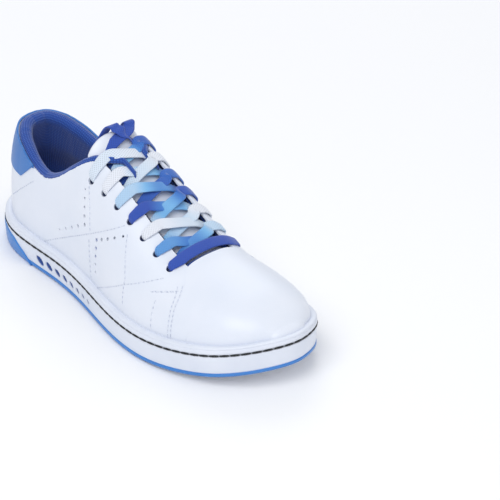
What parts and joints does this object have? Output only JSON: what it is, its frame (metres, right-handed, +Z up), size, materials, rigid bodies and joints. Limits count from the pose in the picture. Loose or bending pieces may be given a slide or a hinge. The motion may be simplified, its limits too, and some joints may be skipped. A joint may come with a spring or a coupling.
{
  "type": "bowling shoe",
  "caption": "Right bowling shoe with a stitched cup sole, slide pad, lattice heel tread, smooth upper, padded collar, tongue and crossed flat lace",
  "frame": {"origin": "on the floor under the centre of the shoe's bounding box", "axes": "+X to the toe, +Y to the medial side, +Z up"},
  "size_m": [0.2757, 0.0984, 0.1064],
  "materials": {
    "sole_rubber": "satin moulded rubber",
    "tread_rubber": "moulded rubber",
    "slide_microfibre": "napped microfibre",
    "stripe_print": "matte",
    "edge_rubber": "satin",
    "sole_thread": "waxed thread",
    "foam": "closed-cell foam",
    "steel": "bare",
    "board": "fibre board",
    "insole_cloth": "knit over foam",
    "stiffener": "fibre board",
    "upper_leather": "smooth coated",
    "tab_leather": "smooth coated",
    "lining_mesh": "padded mesh",
    "lace_cloth": "flat woven, shaded dark blue to white",
    "aglet_plastic": "clear plastic tip"
  },
  "bodies": {
    "rearfoot": {"cupsole_rear": "sole_rubber", "heel_outsole": "tread_rubber", "slide_pad_rear": "slide_microfibre", "slide_pad_stripes": "stripe_print", "edge_band": "edge_rubber", "welt_stitch": "sole_thread", "midsole_core": "foam", "shank": "steel", "strobel_board": "board", "insole": "insole_cloth", "heel_counter": "stiffener", "quarter_lateral": "upper_leather", "quarter_medial": "upper_leather", "heel_tab": "tab_leather", "collar_foam": "foam", "collar_lining": "lining_mesh", "quarter_lining": "lining_mesh", "eyestay_backing_lateral": "stiffener", "eyestay_backing_medial": "stiffener", "lace": "lace_cloth", "aglets": "aglet_plastic"},
    "forefoot": {"cupsole_forefoot": "sole_rubber", "slide_pad_front": "slide_microfibre", "vamp": "upper_leather", "vamp_lining": "lining_mesh", "toe_puff": "stiffener"},
    "tongue": {"tongue_face": "upper_leather", "tongue_foam": "foam", "tongue_lining": "lining_mesh"}
  },
  "joints": [
    {"name": "forefoot_flex", "type": "hinge", "parent": "rearfoot", "child": "forefoot", "pos_m": [0.06875, 0, 0.0225], "axis": [0, -1, 0], "range_deg": [0, 25], "stiffness_Nm_per_rad": 3, "deforming": ["vamp", "vamp_lining", "quarter_lateral", "quarter_medial", "quarter_lining", "insole", "strobel_board", "midsole_core", "edge_band", "welt_stitch"]},
    {"name": "tongue_hinge", "type": "hinge", "parent": "rearfoot", "child": "tongue", "pos_m": [0.063, 0, 0.0485], "axis": [0, 1, 0], "range_deg": [-6, 0]}
  ]
}
